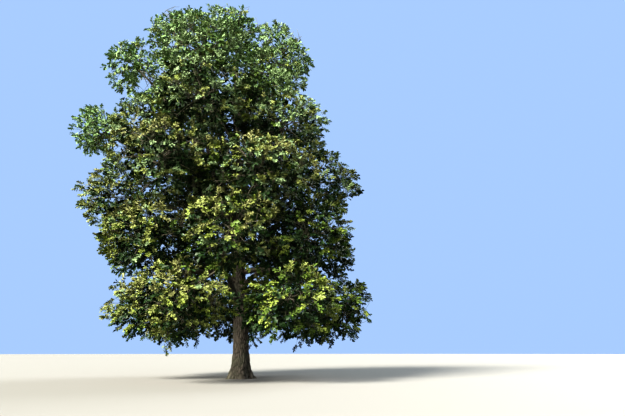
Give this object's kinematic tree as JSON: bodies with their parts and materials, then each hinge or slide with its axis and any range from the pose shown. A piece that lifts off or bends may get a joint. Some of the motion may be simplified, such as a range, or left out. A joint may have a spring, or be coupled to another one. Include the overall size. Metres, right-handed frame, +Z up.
{
  "type": "oak tree",
  "caption": "Mature broad-crowned oak in summer leaf, with a stout flared trunk, a divided stem, spreading boughs and billowing masses of foliage from a high dome to a low skirt.",
  "frame": {"origin": "middle of the flat cut under the trunk, at ground level", "axes": "+Z up, +X to the right as the picture shows the tree, +Y to the back"},
  "size_m": [20.4719, 18.3763, 26.7437],
  "materials": {
    "bark": "deeply ridged grey-brown bark",
    "young_bark": "rough grey-brown bark",
    "foliage": "dense matte summer leaves"
  },
  "bodies": {
    "root": {"trunk": "bark", "stem_middle": "bark", "stem_left": "bark", "stem_right": "bark", "bough_arm_high": "young_bark", "bough_arm_left": "young_bark", "bough_dome_back_left": "young_bark", "bough_dome_back_right": "young_bark", "bough_dome_front": "young_bark", "bough_dome_left": "young_bark", "bough_dome_right": "young_bark", "bough_low_back": "young_bark", "bough_low_back_right": "young_bark", "bough_low_front": "young_bark", "bough_low_front_left": "young_bark", "bough_low_front_right": "young_bark", "bough_low_left": "young_bark", "bough_low_right": "young_bark", "bough_middle_back": "young_bark", "bough_middle_back_right": "young_bark", "bough_middle_front": "young_bark", "bough_middle_front_left": "young_bark", "bough_middle_left": "young_bark", "bough_middle_right": "young_bark", "foliage_arm_high": "foliage", "foliage_arm_left": "foliage", "foliage_crest_left": "foliage", "foliage_crest_middle": "foliage", "foliage_crest_right": "foliage", "foliage_dome_back_left": "foliage", "foliage_dome_back_right": "foliage", "foliage_dome_front": "foliage", "foliage_dome_left": "foliage", "foliage_dome_right": "foliage", "foliage_low_back": "foliage", "foliage_low_back_left": "foliage", "foliage_low_front": "foliage", "foliage_low_front_left": "foliage", "foliage_low_front_right": "foliage", "foliage_low_left": "foliage", "foliage_low_right": "foliage", "foliage_middle_back_left": "foliage", "foliage_middle_back_right": "foliage", "foliage_middle_front_left": "foliage", "foliage_middle_front_right": "foliage", "foliage_middle_left": "foliage", "foliage_middle_right": "foliage", "foliage_skirt_back": "foliage", "foliage_skirt_back_left": "foliage", "foliage_skirt_back_right": "foliage", "foliage_skirt_front": "foliage", "foliage_skirt_front_right": "foliage", "foliage_skirt_left": "foliage", "foliage_skirt_right": "foliage", "foliage_upper_back": "foliage", "foliage_upper_back_left": "foliage", "foliage_upper_back_right": "foliage", "foliage_upper_front": "foliage", "foliage_upper_front_left": "foliage", "foliage_upper_front_right": "foliage"}
  },
  "joints": []
}
